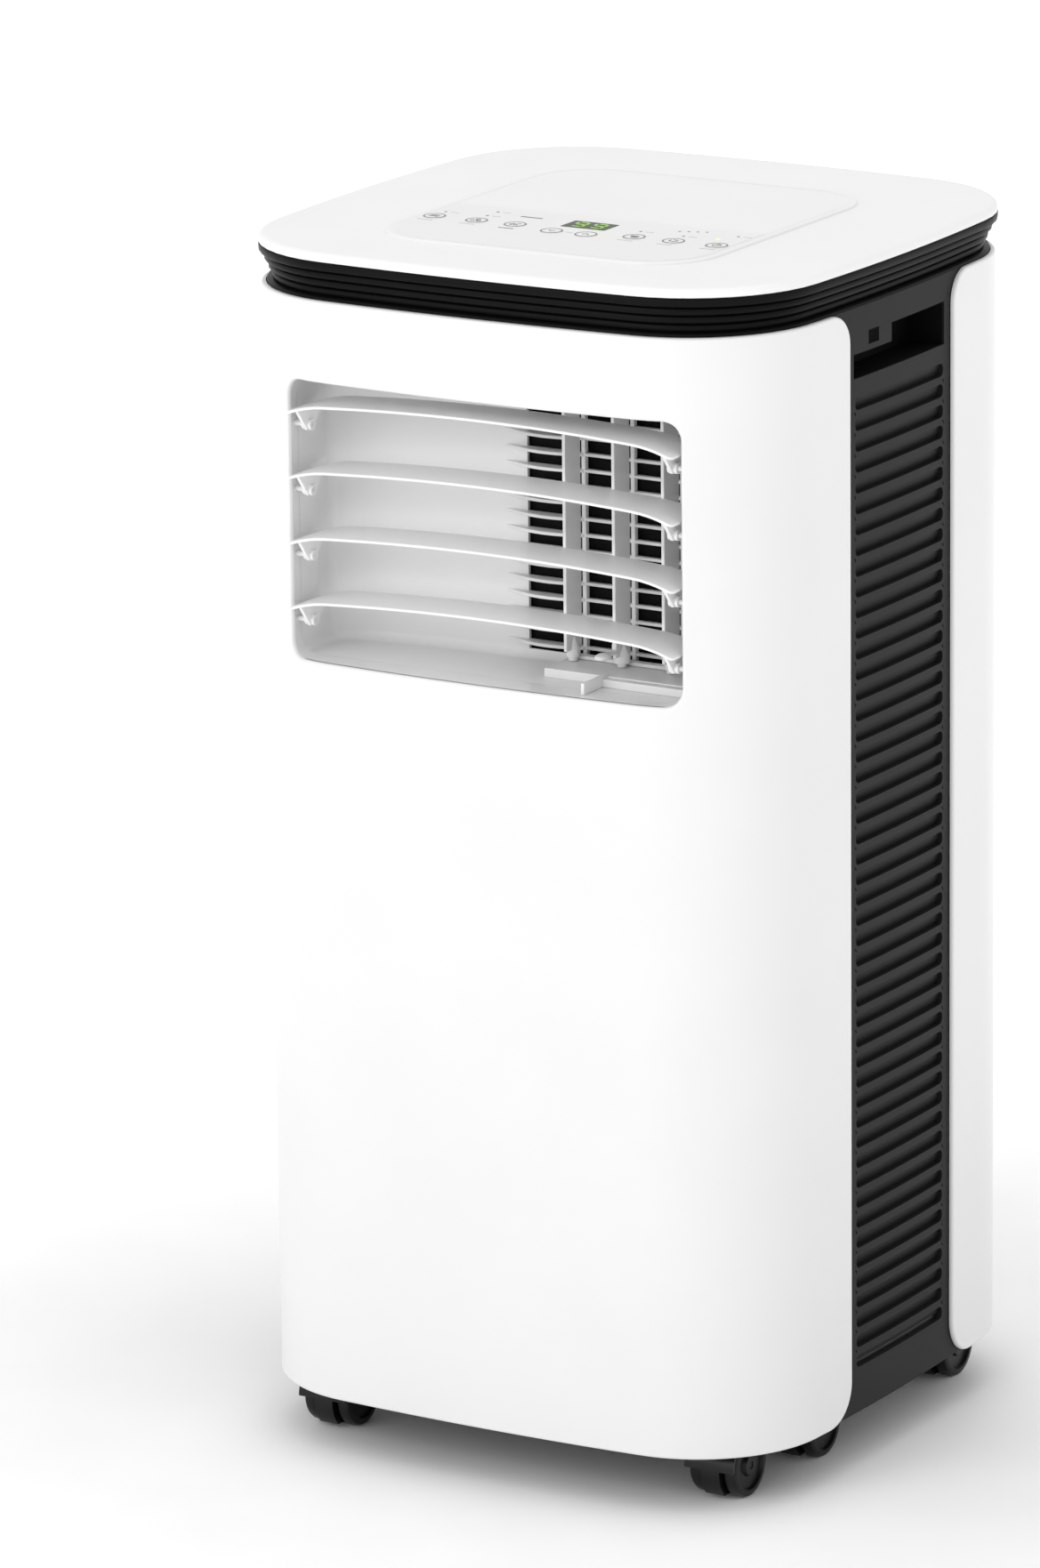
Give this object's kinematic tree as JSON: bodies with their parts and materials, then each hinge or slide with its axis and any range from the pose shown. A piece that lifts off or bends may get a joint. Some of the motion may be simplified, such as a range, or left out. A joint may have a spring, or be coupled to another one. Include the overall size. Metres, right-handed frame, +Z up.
{
  "type": "portable air conditioner",
  "caption": "Upright portable air conditioner with a curved louvred air outlet, ribbed dark collar, louvred side panels with hand holds, rear exhaust port and casters.",
  "frame": {"origin": "on the floor under the cabinet's centre", "axes": "+Z up, -Y towards the front with the air outlet, +X towards the right of someone facing the front"},
  "size_m": [0.3328, 0.3328, 0.6603],
  "materials": {
    "white_shell": "satin",
    "white_lid": "satin",
    "panel_white": "gloss",
    "charcoal": "fine grain",
    "tray_black": "matte",
    "key_grey": "satin",
    "display_dark": "gloss",
    "board_green": "matte",
    "duct_grey": "satin",
    "grille_black": "matte",
    "louvre_white": "satin",
    "link_grey": "satin",
    "vane_grey": "satin",
    "housing_black": "matte",
    "fan_white": "matte",
    "motor_steel": "satin",
    "compressor_black": "gloss",
    "fin_aluminium": "fins",
    "copper_pipe": "drawn",
    "port_white": "satin",
    "filter_grey": "matte",
    "filter_net": "mesh",
    "rubber_black": "matte",
    "screw_steel": "zinc",
    "caster_black": "satin",
    "caster_tyre": "matte"
  },
  "bodies": {
    "cabinet": {"base_tray": "tray_black", "front_cover": "white_shell", "rear_cover": "white_shell", "cover_screws": "screw_steel", "side_panel_left": "charcoal", "side_panel_right": "charcoal", "trim_collar": "charcoal", "top_lid": "white_lid", "control_panel": "panel_white", "control_board": "board_green", "display_window": "display_dark", "outlet_duct": "duct_grey", "outlet_grille": "duct_grey", "upper_scroll": "housing_black", "upper_motor": "motor_steel", "lower_scroll": "housing_black", "lower_motor": "motor_steel", "evaporator_coil": "fin_aluminium", "divider_deck": "housing_black", "compressor": "compressor_black", "condenser_coil": "fin_aluminium", "refrigerant_pipes": "copper_pipe", "exhaust_port": "port_white", "cord_gland": "rubber_black"},
    "key_swing": {"key_swing": "key_grey"},
    "key_speed": {"key_speed": "key_grey"},
    "key_timer": {"key_timer": "key_grey"},
    "key_down": {"key_down": "key_grey"},
    "key_up": {"key_up": "key_grey"},
    "key_sleep": {"key_sleep": "key_grey"},
    "key_mode": {"key_mode": "key_grey"},
    "key_power": {"key_power": "key_grey"},
    "louvre_1": {"louvre_1": "louvre_white"},
    "louvre_2": {"louvre_2": "louvre_white"},
    "louvre_3": {"louvre_3": "louvre_white"},
    "louvre_4": {"louvre_4": "louvre_white"},
    "louvre_link": {"louvre_link": "link_grey"},
    "vane_left": {"vane_left": "vane_grey"},
    "vane_middle": {"vane_middle": "vane_grey"},
    "vane_right": {"vane_right": "vane_grey"},
    "vane_link": {"vane_link": "vane_grey"},
    "upper_impeller": {"upper_impeller": "fan_white"},
    "lower_impeller": {"lower_impeller": "fan_white"},
    "intake_filter": {"intake_grille": "white_shell", "filter_frame": "filter_grey", "filter_mesh": "filter_net"},
    "drain_plug": {"drain_plug": "rubber_black"},
    "caster_front_left": {"caster_yoke_front_left": "caster_black"},
    "wheels_front_left": {"caster_wheels_front_left": "caster_tyre"},
    "caster_front_right": {"caster_yoke_front_right": "caster_black"},
    "wheels_front_right": {"caster_wheels_front_right": "caster_tyre"},
    "caster_middle_left": {"caster_yoke_middle_left": "caster_black"},
    "wheels_middle_left": {"caster_wheels_middle_left": "caster_tyre"},
    "caster_middle_right": {"caster_yoke_middle_right": "caster_black"},
    "wheels_middle_right": {"caster_wheels_middle_right": "caster_tyre"},
    "caster_rear_left": {"caster_yoke_rear_left": "caster_black"},
    "wheels_rear_left": {"caster_wheels_rear_left": "caster_tyre"},
    "caster_rear_right": {"caster_yoke_rear_right": "caster_black"},
    "wheels_rear_right": {"caster_wheels_rear_right": "caster_tyre"}
  },
  "joints": [
    {"name": "key_swing_press", "type": "slide", "parent": "cabinet", "child": "key_swing", "axis": [0, 0, -1], "range_m": [0, 0.0006], "stiffness_N_per_m": 800, "springref_m": -0.0004},
    {"name": "key_speed_press", "type": "slide", "parent": "cabinet", "child": "key_speed", "axis": [0, 0, -1], "range_m": [0, 0.0006], "stiffness_N_per_m": 800, "springref_m": -0.0004},
    {"name": "key_timer_press", "type": "slide", "parent": "cabinet", "child": "key_timer", "axis": [0, 0, -1], "range_m": [0, 0.0006], "stiffness_N_per_m": 800, "springref_m": -0.0004},
    {"name": "key_down_press", "type": "slide", "parent": "cabinet", "child": "key_down", "axis": [0, 0, -1], "range_m": [0, 0.0006], "stiffness_N_per_m": 800, "springref_m": -0.0004},
    {"name": "key_up_press", "type": "slide", "parent": "cabinet", "child": "key_up", "axis": [0, 0, -1], "range_m": [0, 0.0006], "stiffness_N_per_m": 800, "springref_m": -0.0004},
    {"name": "key_sleep_press", "type": "slide", "parent": "cabinet", "child": "key_sleep", "axis": [0, 0, -1], "range_m": [0, 0.0006], "stiffness_N_per_m": 800, "springref_m": -0.0004},
    {"name": "key_mode_press", "type": "slide", "parent": "cabinet", "child": "key_mode", "axis": [0, 0, -1], "range_m": [0, 0.0006], "stiffness_N_per_m": 800, "springref_m": -0.0004},
    {"name": "key_power_press", "type": "slide", "parent": "cabinet", "child": "key_power", "axis": [0, 0, -1], "range_m": [0, 0.0006], "stiffness_N_per_m": 800, "springref_m": -0.0004},
    {"name": "louvre_1_tilt", "type": "hinge", "parent": "cabinet", "child": "louvre_1", "pos_m": [0, -0.148, 0.5628], "axis": [1, 0, 0], "range_deg": [0, 90]},
    {"name": "louvre_2_tilt", "type": "hinge", "parent": "cabinet", "child": "louvre_2", "pos_m": [0, -0.148, 0.52765], "axis": [1, 0, 0], "range_deg": [0, 90]},
    {"name": "louvre_3_tilt", "type": "hinge", "parent": "cabinet", "child": "louvre_3", "pos_m": [0, -0.148, 0.4925], "axis": [1, 0, 0], "range_deg": [0, 90]},
    {"name": "louvre_4_tilt", "type": "hinge", "parent": "cabinet", "child": "louvre_4", "pos_m": [0, -0.148, 0.45735], "axis": [1, 0, 0], "range_deg": [0, 90]},
    {"name": "louvre_link_pivot", "type": "hinge", "parent": "louvre_1", "child": "louvre_link", "pos_m": [0.1135, -0.125, 0.5568], "axis": [1, 0, 0], "range_deg": [-90, 0]},
    {"name": "vane_left_swing", "type": "hinge", "parent": "cabinet", "child": "vane_left", "pos_m": [0.028, -0.112, 0.515], "axis": [0, 0, 1], "range_deg": [-35, 35]},
    {"name": "vane_middle_swing", "type": "hinge", "parent": "cabinet", "child": "vane_middle", "pos_m": [0.0575, -0.112, 0.515], "axis": [0, 0, 1], "range_deg": [-35, 35]},
    {"name": "vane_right_swing", "type": "hinge", "parent": "cabinet", "child": "vane_right", "pos_m": [0.087, -0.112, 0.515], "axis": [0, 0, 1], "range_deg": [-35, 35]},
    {"name": "vane_link_pivot", "type": "hinge", "parent": "vane_middle", "child": "vane_link", "pos_m": [0.0575, -0.106, 0.4446], "axis": [0, 0, 1], "range_deg": [-35, 35]},
    {"name": "upper_fan_spin", "type": "hinge", "parent": "cabinet", "child": "upper_impeller", "pos_m": [0.055, -0.005, 0.505], "axis": [1, 0, 0], "continuous": true},
    {"name": "lower_fan_spin", "type": "hinge", "parent": "cabinet", "child": "lower_impeller", "pos_m": [0, 0.04, 0.222], "axis": [1, 0, 0], "continuous": true},
    {"name": "intake_filter_slide", "type": "slide", "parent": "cabinet", "child": "intake_filter", "axis": [0, 1, 0], "range_m": [0, 0.05]},
    {"name": "drain_plug_slide", "type": "slide", "parent": "cabinet", "child": "drain_plug", "axis": [0, 1, 0], "range_m": [0, 0.02]},
    {"name": "caster_front_left_swivel", "type": "hinge", "parent": "cabinet", "child": "caster_front_left", "pos_m": [-0.12, -0.105, 0.045], "axis": [0, 0, 1], "continuous": true},
    {"name": "wheels_front_left_roll", "type": "hinge", "parent": "caster_front_left", "child": "wheels_front_left", "pos_m": [-0.12, -0.115, 0.0175], "axis": [1, 0, 0], "continuous": true},
    {"name": "caster_front_right_swivel", "type": "hinge", "parent": "cabinet", "child": "caster_front_right", "pos_m": [0.12, -0.105, 0.045], "axis": [0, 0, 1], "continuous": true},
    {"name": "wheels_front_right_roll", "type": "hinge", "parent": "caster_front_right", "child": "wheels_front_right", "pos_m": [0.12, -0.115, 0.0175], "axis": [1, 0, 0], "continuous": true},
    {"name": "caster_middle_left_swivel", "type": "hinge", "parent": "cabinet", "child": "caster_middle_left", "pos_m": [-0.124, -0.03, 0.045], "axis": [0, 0, 1], "continuous": true},
    {"name": "wheels_middle_left_roll", "type": "hinge", "parent": "caster_middle_left", "child": "wheels_middle_left", "pos_m": [-0.124, -0.04, 0.0175], "axis": [1, 0, 0], "continuous": true},
    {"name": "caster_middle_right_swivel", "type": "hinge", "parent": "cabinet", "child": "caster_middle_right", "pos_m": [0.124, -0.03, 0.045], "axis": [0, 0, 1], "continuous": true},
    {"name": "wheels_middle_right_roll", "type": "hinge", "parent": "caster_middle_right", "child": "wheels_middle_right", "pos_m": [0.124, -0.04, 0.0175], "axis": [1, 0, 0], "continuous": true},
    {"name": "caster_rear_left_swivel", "type": "hinge", "parent": "cabinet", "child": "caster_rear_left", "pos_m": [-0.124, 0.103, 0.045], "axis": [0, 0, 1], "continuous": true},
    {"name": "wheels_rear_left_roll", "type": "hinge", "parent": "caster_rear_left", "child": "wheels_rear_left", "pos_m": [-0.124, 0.113, 0.0175], "axis": [1, 0, 0], "continuous": true},
    {"name": "caster_rear_right_swivel", "type": "hinge", "parent": "cabinet", "child": "caster_rear_right", "pos_m": [0.124, 0.103, 0.045], "axis": [0, 0, 1], "continuous": true},
    {"name": "wheels_rear_right_roll", "type": "hinge", "parent": "caster_rear_right", "child": "wheels_rear_right", "pos_m": [0.124, 0.113, 0.0175], "axis": [1, 0, 0], "continuous": true}
  ],
  "couplings": [
    {"joint": "louvre_2_tilt", "follows": "louvre_1_tilt", "ratio": 1},
    {"joint": "louvre_3_tilt", "follows": "louvre_1_tilt", "ratio": 1},
    {"joint": "louvre_4_tilt", "follows": "louvre_1_tilt", "ratio": 1},
    {"joint": "louvre_link_pivot", "follows": "louvre_1_tilt", "ratio": -1},
    {"joint": "vane_left_swing", "follows": "vane_middle_swing", "ratio": 1},
    {"joint": "vane_right_swing", "follows": "vane_middle_swing", "ratio": 1},
    {"joint": "vane_link_pivot", "follows": "vane_middle_swing", "ratio": -1}
  ]
}
